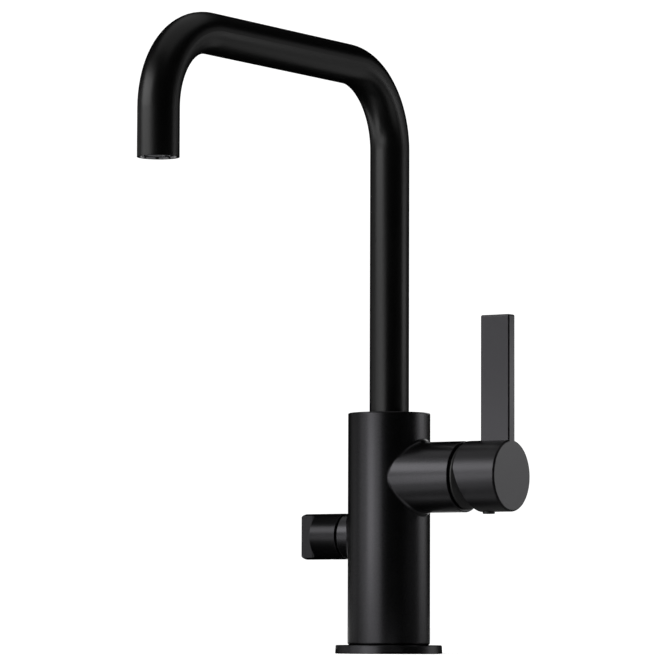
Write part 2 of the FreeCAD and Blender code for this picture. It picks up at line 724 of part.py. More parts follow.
def lever_spindle():
    """The square spindle with its ball end, bored for the pivot pin."""
    body = revolve(lever_body("lever_spindle"), [
        ("ball_place - ball_radius", "0"), ("ball_place", "ball_radius", "ball_radius", -1),
        ("ball_place + cath(ball_radius; ball_neck / 2)", "ball_neck / 2", "ball_radius", -1),
        ("heel_place", "ball_neck / 2"), ("heel_place", "0")], "H_Axis")
    half = "spindle_side / 2"
    square = box_corners(f"-{half}", f"-{half}", half, half)
    shank = draw(new_sketch(body, "YZ_Plane", "heel_place"), square)
    pad(body, shank, "hub_ceiling + spindle_socket - free_gap - heel_place")
    hole = draw_circle(new_sketch(body, "XZ_Plane"), "pivot_place", "0", "pin_diameter / 2 + fit_gap")
    pocket(body, hole, "2 * spindle_side", both_ways=True)


def pivot_pin():
    """The pin that the spindle tilts on."""
    pivot = doc.addObject("Part::Cylinder", "pivot_pin")
    pivot.Label = "pivot_pin"
    bind(pivot, "Radius", "pin_diameter / 2")
    bind(pivot, "Height", "pin_length")
    put(pivot, x="pivot_place", y="-pin_length / 2", z="lever_height", turn=((1, 0, 0), -90))


def temperature_carrier():
    """The rotor of the cartridge, slotted for the spindle and cross-bored for its pin."""
    body = revolve(lever_body("temperature_carrier"), [
        ("carrier_low", "0"), ("carrier_low", "carrier_flange_diameter / 2"),
        ("carrier_top", "carrier_flange_diameter / 2"), ("carrier_top", "carrier_neck"),
        ("carrier_end", "carrier_neck"), ("carrier_end", "0")], "H_Axis")
    wide, tall = "(spindle_side / 2 + running_gap)", "carrier_slot / 2"
    slot = draw(new_sketch(body, "YZ_Plane", "carrier_low"), box_corners(f"-{wide}", f"-{tall}", wide, tall))
    pocket(body, slot, "carrier_end - carrier_low", forwards=True)
    hole = draw_circle(new_sketch(body, "XZ_Plane"), "pivot_place", "0", "pin_diameter / 2")
    pocket(body, hole, "2 * carrier_neck", both_ways=True)


def disc_slider():
    """The sled on the moving disc: its key runs in the carrier's slot and the ball works in its hole."""
    body = revolve(lever_body("disc_slider"), box_corners(
        "moving_top", "0", "slider_top", "moving_disc_diameter / 2"), "H_Axis")
    wide = "spindle_side / 2"
    key = draw(new_sketch(body, "YZ_Plane", "slider_top"), box_corners(f"-{wide}", f"-{wide}", wide, wide))
    pad(body, key, "slider_key")
    drill(body, "YZ_Plane", "0", "0", "ball_radius + running_gap", "moving_top",
          "slider_thickness + slider_key", True)


def moving_disc():
    """The upper ceramic disc, with the hollow that joins the ports."""
    body = revolve(lever_body("moving_disc"), box_corners(
        "moving_low", "0", "moving_top", "moving_disc_diameter / 2"), "H_Axis")
    drill(body, "YZ_Plane", "0", "-mixed_drop / 4", "inlet_aside", "moving_low", "disc_thickness / 2", True)


def bore_ports(body, start, depth, radius):
    """Two inlets and one outlet through a cartridge piece."""
    drill(body, "YZ_Plane", "inlet_aside", "inlet_rise", radius, start, depth, True)
    drill(body, "YZ_Plane", "-inlet_aside", "inlet_rise", radius, start, depth, True)
    drill(body, "YZ_Plane", "0", "-mixed_drop", radius, start, depth, True)


def fixed_disc():
    """The lower ceramic disc, with its three ports."""
    body = revolve(lever_body("fixed_disc"), box_corners(
        "base_top", "0", "fixed_top", "case_inside - fit_gap"), "H_Axis")
    bore_ports(body, "base_top", "disc_thickness", "channel_diameter / 2")


def cartridge_base():
    """The foot of the cartridge, with three ports and the seats of their seals."""
    body = revolve(lever_body("cartridge_base"), box_corners(
        "cartridge_seat", "0", "base_top", "cartridge_radius"), "H_Axis")
    bore_ports(body, "cartridge_seat", "base_thickness", "channel_diameter / 2")
    bore_ports(body, "cartridge_seat", "seal_section + fit_gap", "seal_radius + seal_section / 2 + fit_gap")


def cartridge_seals():
    """Three small rings between the cartridge and its seat."""
    rings = []
    for number, (aside, rise) in enumerate((("inlet_aside", "inlet_rise"), ("-inlet_aside", "inlet_rise"),
                                            ("0", "-mixed_drop"))):
        ring = doc.addObject("Part::Torus", f"port_ring_{number}")
        put(ring, "cartridge_seat + seal_section / 2", aside, f"lever_height + {rise}", turn=((0, 1, 0), 90))
        bind(ring, "Radius1", "seal_radius")
        bind(ring, "Radius2", "seal_section / 2")
        rings.append(ring)
    group = doc.addObject("Part::Compound", "cartridge_seals")
    group.Links = rings
    group.Label = "cartridge_seals"


def cartridge_case():
    """The plastic cup of the cartridge, with the collar that the carrier turns in."""
    revolve(lever_body("cartridge_case"), [
        ("base_top", "case_inside"), ("base_top", "cartridge_radius"), ("case_shoulder", "cartridge_radius"),
        ("case_shoulder", "case_collar_radius"), ("case_top", "case_collar_radius"),
        ("case_top", "case_bore"), ("roof_low", "case_bore"), ("roof_low", "case_inside")], "H_Axis")


def cartridge_nut():
    """The ring nut that holds the cartridge down."""
    revolve(lever_body("cartridge_nut"), box_corners(
        "case_shoulder", "case_collar_radius + nut_bore_gap", "nut_end", "nut_radius"), "H_Axis")


def trim_cap():
    """The domed cap over the nut, round about the lever's pivot so that the hub clears it at each tilt."""
    def on_sphere(sphere, radius):
        return f"pivot_place + cath({sphere}; {radius})"
    inner_mouth = "(mouth_radius * cap_inside / cap_sphere)"
    revolve(lever_body("trim_cap"), [
        ("nut_end", "foot_inside"), ("nut_end", "nut_radius"), ("cap_low", "nut_radius"),
        ("cap_low", "cap_radius"), ("cap_rim", "cap_radius"),
        (on_sphere("cap_sphere", "mouth_radius"), "mouth_radius", "cap_sphere", -1),
        (on_sphere("cap_inside", inner_mouth), inner_mouth),
        (on_sphere("cap_inside", "foot_inside"), "foot_inside", "cap_inside", 1)], "H_Axis")


def valve_seal():
    """The rubber seat ring of the valve."""
    revolve(valve_body("valve_seal"), box_corners(
        "valve_seat", "valve_seal_bore / 2", "valve_disc_low", "valve_bore - fit_gap"), "H_Axis")


def valve_disc(label, low, top):
    """A ceramic disc of the valve, with two facing ports."""
    body = revolve(valve_body(label), box_corners(low, "0", top, "valve_bore - fit_gap"), "H_Axis")
    for side in ("", "-"):
        drill(body, "YZ_Plane", "0", f"{side}valve_bore / 2", "valve_port / 2", low,
              "valve_disc_thickness", True)


def valve_sleeve():
    """The screwed sleeve of the valve, with two windows that let the water out."""
    body = revolve(valve_body("valve_sleeve"), [
        ("valve_disc_low", "valve_bore"), ("valve_disc_low", "valve_sleeve_radius"),
        ("valve_boss_reach", "valve_sleeve_radius"), ("valve_boss_reach", "valve_stem + running_gap"),
        ("valve_roof", "valve_stem + running_gap"), ("valve_roof", "valve_bore")], "H_Axis")
    half = "valve_window / 2"
    window = draw_circle(new_sketch(body, "XY_Plane"), f"valve_flange_top - {half}", "0", half)
    pocket(body, window, "valve_pocket", both_ways=True)


def valve_spindle():
    """The spindle that turns the upper disc, square where the knob sits."""
    floor, half = "valve_stem - valve_ring_section", "valve_ring_section / 2 + running_gap"
    body = revolve(valve_body("valve_spindle"), [
        ("valve_turn_top", "0"), ("valve_turn_top", "valve_bore - running_gap"),
        ("valve_flange_top", "valve_bore - running_gap"), ("valve_flange_top", "valve_stem"),
        (f"valve_ring_place - ({half})", "valve_stem"), (f"valve_ring_place - ({half})", floor),
        (f"valve_ring_place + {half}", floor), (f"valve_ring_place + {half}", "valve_stem"),
        ("valve_square_start", "valve_stem"), ("valve_square_start", "0")], "H_Axis")
    side = "valve_square / 2"
    square = box_corners(f"-{side}", f"-{side}", side, side)
    end = draw(new_sketch(body, "YZ_Plane", "valve_square_start"), square)
    pad(body, end, "valve_square_length - free_gap")


def valve_o_ring():
    """The ring that seals the valve's spindle."""
    ring = doc.addObject("Part::Torus", "valve_o_ring")
    ring.Label = "valve_o_ring"
    put(ring, x="-valve_ring_place", z="valve_height", turn=((0, 1, 0), 90))
    bind(ring, "Radius1", "valve_stem - valve_ring_section / 2 + fit_gap")
    bind(ring, "Radius2", "valve_ring_section / 2")


def valve_knob():
    """The knob: a cylinder that ends in a paddle, milled flat on both sides with a round at each root."""
    recess = "(knob_radius - knob_recess_wall)"
    body = revolve(valve_body("valve_knob"), [
        ("knob_start", recess), ("knob_start", "knob_radius - knob_rim"),
        ("knob_start + knob_rim", "knob_radius", "knob_rim", -1), ("knob_end - knob_edge", "knob_radius"),
        ("knob_end", "knob_radius - knob_edge", "knob_edge", -1), ("knob_end", "0"),
        ("valve_square_start", "0"), ("valve_square_start", recess)], "H_Axis")
    flat, far, root = "paddle_thickness / 2", "knob_diameter", "paddle_root"
    shoulder, end = "knob_start + knob_shoulder", "knob_end + knob_edge"
    flats = draw(new_sketch(body, "XY_Plane"), [
        (shoulder, far), (shoulder, f"{flat} + {root}"), (f"{shoulder} + {root}", flat, root, 1),
        (end, flat), (end, far)])
    draw(flats, [
        (end, f"-{far}"), (end, f"-{flat}"), (f"{shoulder} + {root}", f"-{flat}"),
        (shoulder, f"-({flat} + {root})", root, 1), (shoulder, f"-{far}")])
    pocket(body, flats, "2 * knob_diameter", both_ways=True)
    side = "(valve_square / 2 + fit_gap)"
    square = box_corners(f"-{side}", f"-{side}", side, side)
    socket = draw(new_sketch(body, "YZ_Plane", "valve_square_start"), square)
    pocket(body, socket, "valve_square_length", forwards=True)
    drill(body, "XY_Plane", "valve_square_start + knob_screw_place", "0", "knob_screw_diameter / 2 + fit_gap",
          "-knob_radius", "knob_radius", True)


def knob_grub_screw():
    """The screw that holds the knob on its spindle, from below."""
    screw = grub_screw("knob_grub_screw", "knob_screw_diameter / 2",
                       "knob_radius - valve_square / 2 - knob_screw_sink",
                       "knob_screw_diameter / 2 - free_gap", "free_gap", "knob_screw_diameter / 2")
    put(screw, x="-valve_square_start - knob_screw_place", z="valve_height - valve_square / 2",
        turn=((1, 0, 0), 180))


def make_pieces():
    base_rosette()
    base_gasket()
    column_body()
    spout_tube()
    spout_socket()
    spout_o_rings()
    spout_bush()
    spout_stop_screw()
    outlet_sleeve()
    aerator_jacket()
    aerator_core()
    aerator_regulator()
    aerator_washer()
    lever_handle()
    lever_plug()
    lever_grub_screw()
    lever_spindle()
    pivot_pin()
    temperature_carrier()
    disc_slider()
    moving_disc()
    fixed_disc()
    cartridge_base()
    cartridge_seals()
    cartridge_case()
    cartridge_nut()
    trim_cap()
    valve_seal()
    valve_disc("valve_fixed_disc", "valve_disc_low", "valve_disc_top")
    valve_disc("valve_moving_disc", "valve_turn_low", "valve_turn_top")
    valve_sleeve()
    valve_spindle()
    valve_o_ring()
    valve_knob()
    knob_grub_screw()


def pieces():
    """Each body, group or single primitive that is a piece of the tap."""
    grouped = {ring.Name for group in doc.findObjects("Part::Compound") for ring in group.Links}
    kinds = ("PartDesign::Body", "Part::Compound", "Part::Cylinder", "Part::Torus")
    return [thing for thing in doc.Objects if thing.TypeId in kinds and thing.Name not in grouped]


def check(things):
    """Stop if a feature failed or a piece has no sound solid."""
    for thing in doc.Objects:
        if {"Invalid", "Error"} & set(thing.State):
            raise RuntimeError(f"{thing.Name} failed")
    for thing in things:
        if thing.Shape.isNull() or not thing.Shape.isValid() or not thing.Shape.Solids:
            raise RuntimeError(f"{thing.Label} has no sound solid")


def write(things):
    os.makedirs("parts", exist_ok=True)
    for thing in things:
        thing.Shape.exportStep(f"parts/{thing.Label}.step")
        print(f"{thing.Label}: {len(thing.Shape.Solids)} solid, {thing.Shape.Volume:.1f} mm3")


fill_sheet()
make_pieces()
doc.recompute()
check(pieces())
write(pieces())
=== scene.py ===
# %% [markdown]
# # A matt black kitchen mixer tap
# The tap comes from its drawing as a finished frame: every piece at its real size, in metres, with the
# spout towards -Y, the lever on the +X side and the shut-off knob on the -X side. Nothing here moves or
# reshapes those pieces. What this lesson adds is what a drawing can't hold: the view, the light, the
# finishes and the threads.

# %% Load the tap
import json
import math
import bpy
from mathutils import Matrix, Vector


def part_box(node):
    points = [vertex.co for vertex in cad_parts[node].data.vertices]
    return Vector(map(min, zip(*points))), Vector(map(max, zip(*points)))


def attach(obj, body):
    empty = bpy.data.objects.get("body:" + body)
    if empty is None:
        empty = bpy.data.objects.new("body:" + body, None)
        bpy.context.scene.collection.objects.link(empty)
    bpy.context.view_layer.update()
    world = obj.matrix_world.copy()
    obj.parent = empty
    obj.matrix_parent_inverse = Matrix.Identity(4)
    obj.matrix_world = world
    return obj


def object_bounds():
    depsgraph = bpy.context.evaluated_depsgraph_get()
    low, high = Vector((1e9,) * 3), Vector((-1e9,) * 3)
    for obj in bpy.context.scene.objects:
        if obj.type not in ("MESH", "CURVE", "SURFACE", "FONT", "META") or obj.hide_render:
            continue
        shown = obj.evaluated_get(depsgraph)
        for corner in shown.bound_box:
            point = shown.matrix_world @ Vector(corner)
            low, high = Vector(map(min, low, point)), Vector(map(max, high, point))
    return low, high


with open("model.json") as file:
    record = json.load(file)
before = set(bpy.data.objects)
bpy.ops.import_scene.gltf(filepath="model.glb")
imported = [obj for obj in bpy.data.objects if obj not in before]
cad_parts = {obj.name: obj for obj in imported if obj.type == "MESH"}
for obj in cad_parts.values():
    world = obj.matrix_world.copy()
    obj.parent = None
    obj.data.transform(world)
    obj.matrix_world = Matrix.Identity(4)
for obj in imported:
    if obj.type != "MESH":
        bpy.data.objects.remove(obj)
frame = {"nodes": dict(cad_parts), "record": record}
cad_low, cad_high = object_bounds()
print("size in mm:", [round(1000 * (high - low), 1) for low, high in zip(cad_low, cad_high)])

# %% [markdown]
# ## The view
# The tap is seen from worktop height, from far away through a long lens, so its upright lines stay almost
# parallel. A camera can be aimed with a constraint, but then roll and aim are hard to control. Here it is
# built from the three turns that a tripod head has: yaw about the upright, pitch about the level axis and
# a touch of roll. A new camera looks straight down, so a quarter turn is added to the pitch.

# %% Camera
IMAGE_PIXELS = 665
FOCAL_PIXELS = 3934.7
VIEW_AZIMUTH = math.radians(32.704)
VIEW_DISTANCE = 2.3906
VIEW_HEIGHT = 0.01635
VIEW_YAW = math.radians(33.535)
VIEW_PITCH = math.radians(4.268)
VIEW_ROLL = math.radians(-0.187)
VIEW_LIMIT = 100

camera = bpy.data.objects.new("camera", bpy.data.cameras.new("camera"))
bpy.context.scene.collection.objects.link(camera)
sideways = VIEW_DISTANCE * math.sin(VIEW_AZIMUTH)
forwards = VIEW_DISTANCE * math.cos(VIEW_AZIMUTH)
place = Matrix.Translation((sideways, -forwards, VIEW_HEIGHT))
yaw = Matrix.Rotation(VIEW_YAW, 4, "Z")
pitch = Matrix.Rotation(math.radians(90) + VIEW_PITCH, 4, "X")
roll = Matrix.Rotation(-VIEW_ROLL, 4, "Z")
camera.matrix_world = place @ yaw @ pitch @ roll
camera.data.lens = FOCAL_PIXELS / IMAGE_PIXELS * camera.data.sensor_width
camera.data.clip_end = VIEW_LIMIT
bpy.context.scene.camera = camera
print(f"lens {camera.data.lens:.1f} mm, {VIEW_DISTANCE:.2f} m away")

# %% [markdown]
# ## Floor and room light
# A product like this stands on white. A bent backdrop would stand in the way of the other views, so the
# floor is a wide flat disc that meets an evenly lit white surround. Coated black metal shows what it
# mirrors more than what it is, so floor and surround are kept out of its reflections, as a photographer
# does with black cards.

# %% Floor and surround
FLOOR_RADIUS = 40
FLOOR_SIDES = 96
FLOOR_GAP = 0.0002
PAPER_WHITE = (0.93, 0.93, 0.93)
SURROUND_STRENGTH = 1.12


def new_object(name, points, faces):
    """A mesh object from points and faces."""
    mesh = bpy.data.meshes.new(name)
    mesh.from_pydata(points, [], faces)
    mesh.update()
    made = bpy.data.objects.new(name, mesh)
    bpy.context.scene.collection.objects.link(made)
    return made


floor_level = cad_low.z - FLOOR_GAP
turns = [2 * math.pi * step / FLOOR_SIDES for step in range(FLOOR_SIDES)]
edge = [(FLOOR_RADIUS * math.cos(turn), FLOOR_RADIUS * math.sin(turn), floor_level) for turn in turns]
floor = new_object("floor", edge, [tuple(range(FLOOR_SIDES))])
paper = bpy.data.materials.new("studio_paper")
paper.use_nodes = True
paper_shader = paper.node_tree.nodes["Principled BSDF"]
paper_shader.inputs["Base Color"].default_value = (*PAPER_WHITE, 1)
paper_shader.inputs["Roughness"].default_value = 1.0
paper_shader.inputs["Specular IOR Level"].default_value = 0.0
floor.data.materials.append(paper)
floor.visible_glossy = False

world = bpy.data.worlds.new("surround")
world.use_nodes = True
world.node_tree.nodes["Background"].inputs["Color"].default_value = (1.0, 1.0, 1.0, 1)
world.node_tree.nodes["Background"].inputs["Strength"].default_value = SURROUND_STRENGTH
world.cycles_visibility.glossy = False
bpy.context.scene.world = world
bpy.context.scene.view_settings.view_transform = "Standard"
print(f"floor {2 * FLOOR_RADIUS} m across")

# %% [markdown]
# ## Area lights
# On black metal a light is seen as a mirrored shape, so each one is placed for the streak that it draws.
# Area lights are the right tool, because their mirror image has their real size and distance. Blender can
# also link a light to some pieces, or keep it off some. A photographer does that with small black flags;
# here it keeps the light that a flat face needs from drawing a hard line on the round tube beside it.

# %% Area light helpers
BOX_DISTANCE = 1.2
CARD_HEIGHT = 0.001
AIM_POINT = Vector((0, 0, 0.12))


def panel(name, middle, facing, width, tall, brightness, only=(), spared=()):
    """An area light that shines against its own z and isn't seen by the camera. It lights only some
    pieces, or all but the spared ones, if either is named. Its brightness doesn't depend on its size."""
    light = bpy.data.lights.new(name, "AREA")
    light.shape = "RECTANGLE"
    light.size = width
    light.size_y = tall
    light.energy = brightness * math.pi * width * tall
    box = bpy.data.objects.new(name, light)
    box.location = middle
    box.rotation_euler = facing.to_euler()
    box.visible_camera = False
    bpy.context.scene.collection.objects.link(box)
    if only or spared:
        linked = bpy.data.collections.new(f"linked_to_{name}")
        for piece in only or spared:
            linked.objects.link(frame["nodes"][piece])
        for entry in linked.collection_objects:
            entry.light_linking.link_state = "INCLUDE" if only else "EXCLUDE"
        box.light_linking.receiver_collection = linked
    print(f"{name}: {1000 * width:.0f} x {1000 * tall:.0f} mm, {light.energy:.2f} W")


def soft_box(name, azimuth, low, high, width, brightness, elevation=0, centre=AIM_POINT,
             distance=BOX_DISTANCE, **linking):
    """A panel that faces a centre. Azimuth 0 is in front of the spout, positive towards the lever; low
    and high are its edges, measured up along the panel from the line to the centre."""
    turn, rise = math.radians(azimuth), math.radians(elevation)
    out = Vector((math.sin(turn) * math.cos(rise), -math.cos(turn) * math.cos(rise), math.sin(rise)))
    facing = out.to_track_quat("Z", "Y")
    middle = centre + distance * out + facing @ Vector((0, (low + high) / 2, 0))
    panel(name, middle, facing, width, high - low, brightness, **linking)


def floor_card(name, azimuth, near, far, width, brightness, start=(0, 0), **linking):
    """A card that lies on the floor and shines upwards, with its edges near and far from a start."""
    turn = math.radians(azimuth)
    out = Vector((math.sin(turn), -math.cos(turn), 0))
    lying = (Matrix.Rotation(turn, 4, "Z") @ Matrix.Rotation(math.pi, 4, "X")).to_quaternion()
    middle = Vector((*start, CARD_HEIGHT)) + (near + far) / 2 * out
    panel(name, middle, lying, width, far - near, brightness, **linking)


# %% [markdown]
# ## The key
# The key stands at the front left. One even box would draw a hard-edged stripe, so it is laid together
# from boxes that overlap: bright in the middle, weaker to the sides. The low ones draw the streak down the
# column, and a high one the bright band along the lever, which two weaker ones above it let fade upwards.
# The spout is kept out of the high ones. It has a weaker box of its own, which lights its first bend and
# helps the middle box with the streaks on riser and drop.

# %% Key lights
soft_box("key_low", azimuth=-22, low=-0.09, high=0.06, width=1.70, brightness=1.5)
soft_box("key_core", azimuth=-10, low=-0.08, high=0.05, width=0.72, brightness=2.6)
soft_box("key_middle", azimuth=-26, low=0.08, high=0.42, width=1.30, brightness=0.47)
soft_box("key_side", azimuth=-72, low=-0.12, high=0.06, width=0.55, brightness=0.25)
soft_box("key_wing", azimuth=-80, low=-0.12, high=0.48, width=0.90, brightness=0.15)
soft_box("key_high", azimuth=-31, low=-0.26, high=0.24, width=0.85, brightness=3.9, elevation=27,
         spared=["spout_tube"])
soft_box("key_bend", azimuth=-31, low=-0.26, high=0.24, width=0.95, brightness=2.4, elevation=27,
         only=["spout_tube"])
soft_box("key_cap", azimuth=-46, low=-0.10, high=0.10, width=0.50, brightness=1.0, elevation=45,
         spared=["valve_knob", "spout_tube"])
soft_box("top_box", azimuth=-90, low=-0.25, high=0.25, width=0.90, brightness=0.50, elevation=55,
         spared=["valve_knob", "spout_tube"])

# %% [markdown]
# ## Light from behind
# Boxes behind the tap are mirrored at a flat angle. They fill the lever's round end, draw the thin line
# down the right edges and, with a card on the floor, lay an even sheen along the underside of the arm. One
# bright wall would do all of this at once, but with separate boxes each effect can be set by itself. One
# of them is there for the lever alone, and one for a single glint, where the column blends into the
# lever's boss.

# %% Rear lights
UNDER_ARM = (0, -0.12)
soft_box("rear_core", azimuth=138, low=-0.06, high=0.10, width=0.60, brightness=1.0, spared=["spout_tube"])
soft_box("rear_lever", azimuth=148, low=-0.10, high=0.40, width=0.70, brightness=0.34,
         only=["lever_handle"])
soft_box("rear_side", azimuth=124, low=0.10, high=0.27, width=0.46, brightness=2.1)
soft_box("rear_fill_low", azimuth=145, low=-0.12, high=0.14, width=0.78, brightness=0.32)
soft_box("rear_fill_high", azimuth=145, low=0.24, high=0.72, width=0.78, brightness=0.26)
soft_box("blend_box", azimuth=172, low=-0.14, high=0.14, width=0.75, brightness=2.0, elevation=18,
         only=["column_body"])
floor_card("rear_card", azimuth=158, near=0.50, far=1.35, width=0.55, brightness=0.34, start=UNDER_ARM)

# %% [markdown]
# ## Cards close to the lever
# The lever's hub is a level cylinder, so it mirrors the floor as well as the boxes. A card close in front
# softens the lower edge of its bright band, and three cards on the floor carry the band on round its
# underside. From worktop height the upright column hardly mirrors the floor, so they leave it dark. One
# more card, behind the blade, brightens its outer side.

# %% Lever cards
HUB = Vector((0.07, -0.02, 0.11))
BLADE = Vector((0.087, 0, 0.18))
UNDER_HUB = (0.055, -0.02)
soft_box("lever_card", azimuth=-32, low=-0.06, high=0.06, width=0.10, brightness=1.4, centre=HUB,
         distance=0.30, spared=["spout_tube"])
soft_box("blade_card", azimuth=147, low=-0.03, high=0.03, width=0.08, brightness=0.8, centre=BLADE,
         distance=0.25, spared=["spout_tube"])
floor_card("near_card", azimuth=-37, near=0.02, far=0.15, width=0.12, brightness=0.45, start=UNDER_HUB)
floor_card("middle_card", azimuth=-37, near=0.15, far=0.35, width=0.12, brightness=0.9, start=UNDER_HUB)
floor_card("far_card", azimuth=-37, near=0.35, far=1.15, width=0.18, brightness=2.1, start=UNDER_HUB)

# %% [markdown]
# ## Light for the other sides
# Seen from higher up, an upright surface mirrors the floor, so cards on the floor beside and behind the
# tap give those views their streaks. At its outline a round piece mirrors even a weak light in full. That
# is why column and spout have cards of their own, placed so that from worktop height they hardly draw a
# bright edge. A dim card by the foot and a ceiling panel serve the views from above.

# %% Cards for the other sides
CEILING = Vector((0, 0, 1.5))
BESIDE_FOOT = (0.08, 0)
floor_card("lever_side_card", azimuth=97, near=0.55, far=1.70, width=0.60, brightness=0.5)
floor_card("corner_card", azimuth=-108, near=0.45, far=1.80, width=0.80, brightness=1.2,
           spared=["column_body", "spout_tube"])
floor_card("spout_card", azimuth=-66, near=0.55, far=2.20, width=0.80, brightness=0.9, only=["spout_tube"])
floor_card("column_card", azimuth=-108, near=0.12, far=0.55, width=0.50, brightness=0.5,
           only=["column_body"])
floor_card("tail_card", azimuth=-140, near=0.35, far=1.80, width=0.70, brightness=1.4,
           spared=["spout_tube", "valve_knob"])
floor_card("foot_card", azimuth=0, near=-0.22, far=0.22, width=0.26, brightness=0.12, start=BESIDE_FOOT)
panel("ceiling", CEILING, Matrix.Identity(3).to_quaternion(), width=1.6, tall=1.6, brightness=0.32)

# %% [markdown]
# ## A finish in general
# Each finish is a Principled shader with three things that vary over the surface: colour, roughness and a
# fine relief. Painted images would do it too, but noise worked out in space needs no unwrapping and stays
# sharp at any distance. The noise reads object coordinates, which are metres here, so a grain can be given
# its real size.

# %% Finish helpers
def link(tree, output, target):
    """Join a node's output to a socket."""
    tree.links.new(output, target)


def new_finish(name, metallic=0.0, specular=0.5):
    """A material with one Principled shader, and the object coordinates to feed its textures."""
    material = bpy.data.materials.new(name)
    material.use_nodes = True
    tree = material.node_tree
    shader = tree.nodes["Principled BSDF"]
    shader.inputs["Metallic"].default_value = metallic
    shader.inputs["Specular IOR Level"].default_value = specular
    coordinates = tree.nodes.new("ShaderNodeTexCoord").outputs["Object"]
    print("finish:", name)
    return material, tree, shader, coordinates


def grain(tree, coordinates, size, detail=2.0):
    """Noise whose spots are about that size, in metres."""
    noise = tree.nodes.new("ShaderNodeTexNoise")
    noise.inputs["Scale"].default_value = 1 / size
    noise.inputs["Detail"].default_value = detail
    link(tree, coordinates, noise.inputs["Vector"])
    return noise.outputs["Fac"]


# %% [markdown]
# ## What a grain does to a surface
# Noise runs from 0 to 1 but stays close to the middle, so the middle is stretched before it sets a colour
# or a roughness. Relief could be real geometry, moved by a displace modifier. A grain is so much finer
# than the piece that it would need millions of faces, so bump nodes tilt the shading instead.

# %% Helpers for colour, roughness and relief
NOISE_LOW = 0.3
NOISE_HIGH = 0.7


def spread(tree, value, low, high):
    """Stretch the middle of a noise to a range of values."""
    stretch = tree.nodes.new("ShaderNodeMapRange")
    stretch.inputs["From Min"].default_value = NOISE_LOW
    stretch.inputs["From Max"].default_value = NOISE_HIGH
    stretch.inputs["To Min"].default_value = low
    stretch.inputs["To Max"].default_value = high
    link(tree, value, stretch.inputs["Value"])
    return stretch.outputs["Result"]


def between(tree, value, dark, light):
    """A colour between two, by a noise."""
    ramp = tree.nodes.new("ShaderNodeValToRGB")
    ramp.color_ramp.elements[0].position = NOISE_LOW
    ramp.color_ramp.elements[0].color = (*dark, 1)
    ramp.color_ramp.elements[1].position = NOISE_HIGH
    ramp.color_ramp.elements[1].color = (*light, 1)
    link(tree, value, ramp.inputs["Fac"])
    return ramp.outputs["Color"]


def relief(tree, shader, *layers):
    """Raise the surface by layers of (value, depth in metres), each on top of the one before."""
    normal = None
    for value, depth in layers:
        bump = tree.nodes.new("ShaderNodeBump")
        bump.inputs["Distance"].default_value = depth
        link(tree, value, bump.inputs["Height"])
        if normal:
            link(tree, normal, bump.inputs["Normal"])
        normal = bump.outputs["Normal"]
    link(tree, normal, shader.inputs["Normal"])


# %% [markdown]
# ## The black coat
# Powder coat is sprayed on dry and melted in an oven. It flows out to a skin with a faint orange peel,
# about a millimetre from crest to crest, and a much finer grain that makes it matt. A black like this has
# almost no colour of its own: what is seen is its soft gloss. So the base colour is close to nothing, and
# the roughness decides how wide the streaks of light are. The column is the smoothest; lever, spout and
# knob are a little duller. The knob's gloss is also turned down, and that is painted shade: it stands in
# for the knob getting less light than the lever. The gloss of the bent tube is neutral, that of the other
# pieces a touch cool.

# %% Coat
COAT_BLACKS = (0.0005, 0.0005, 0.00055), (0.0010, 0.0010, 0.0010)
COOL = (0.95, 0.934, 1.0)
NEUTRAL = (1.0, 1.0, 1.0)
CLOUD_SIZE = 0.02
PEEL_SIZE = 0.0011
PEEL_DEPTH = 0.000003
POWDER_SIZE = 0.00022
POWDER_DEPTH = 0.0000006


def coat_finish(name, roughness, gloss_tint, specular=0.5):
    """Black powder coat with a tinted gloss, its roughness between two values."""
    material, tree, shader, coordinates = new_finish(name, specular=specular)
    shader.inputs["Specular Tint"].default_value = (*gloss_tint, 1)
    cloudy = grain(tree, coordinates, CLOUD_SIZE, detail=4.0)
    peel = grain(tree, coordinates, PEEL_SIZE, detail=1.0)
    powder = grain(tree, coordinates, POWDER_SIZE, detail=3.0)
    link(tree, between(tree, cloudy, *COAT_BLACKS), shader.inputs["Base Color"])
    link(tree, spread(tree, powder, *roughness), shader.inputs["Roughness"])
    relief(tree, shader, (peel, PEEL_DEPTH), (powder, POWDER_DEPTH))
    return material


finishes = {}
finishes["matte_black_coat"] = coat_finish("matte_black_coat", roughness=(0.26, 0.30), gloss_tint=COOL)
spout_coat = coat_finish("matte_black_spout", roughness=(0.31, 0.35), gloss_tint=NEUTRAL)
lever_coat = coat_finish("matte_black_lever", roughness=(0.32, 0.36), gloss_tint=COOL)
# The knob's lower specular is painted shade, standing in for the weaker light that reaches the knob.
shaded_knob_coat = coat_finish("matte_black_knob_shaded", roughness=(0.30, 0.34), gloss_tint=COOL, specular=0.33)
print(f"coat grain {1000 * POWDER_SIZE:.2f} mm on a peel of {1000 * PEEL_SIZE:.1f} mm")

# %% [markdown]
# ## Moulded plastics
# A mould is eroded by sparks before use, and its pitted skin is printed on every piece. Noise alone would
# look like cloud, but Voronoi cells make good pits: each point knows how far it is from the middle of its
# cell. The cap behind the lever, the screw's plug and the spout's bush are black, the aerator grey, and
# the plastic pieces of the cartridge are the white, slippery kind.

# %% Plastics
FLOW_SIZE = 0.006


def plastic_finish(name, dark, light, roughness, pit, depth):
    """Moulded plastic with pits of that size and depth, in metres."""
    material, tree, shader, coordinates = new_finish(name)
    cells = tree.nodes.new("ShaderNodeTexVoronoi")
    cells.inputs["Scale"].default_value = 1 / pit
    link(tree, coordinates, cells.inputs["Vector"])
    flow = grain(tree, coordinates, FLOW_SIZE, detail=3.0)
    fine = grain(tree, coordinates, pit / 2)
    link(tree, between(tree, flow, dark, light), shader.inputs["Base Color"])
    link(tree, spread(tree, flow, *roughness), shader.inputs["Roughness"])
    relief(tree, shader, (cells.outputs["Distance"], depth), (fine, depth / 2))
    return material


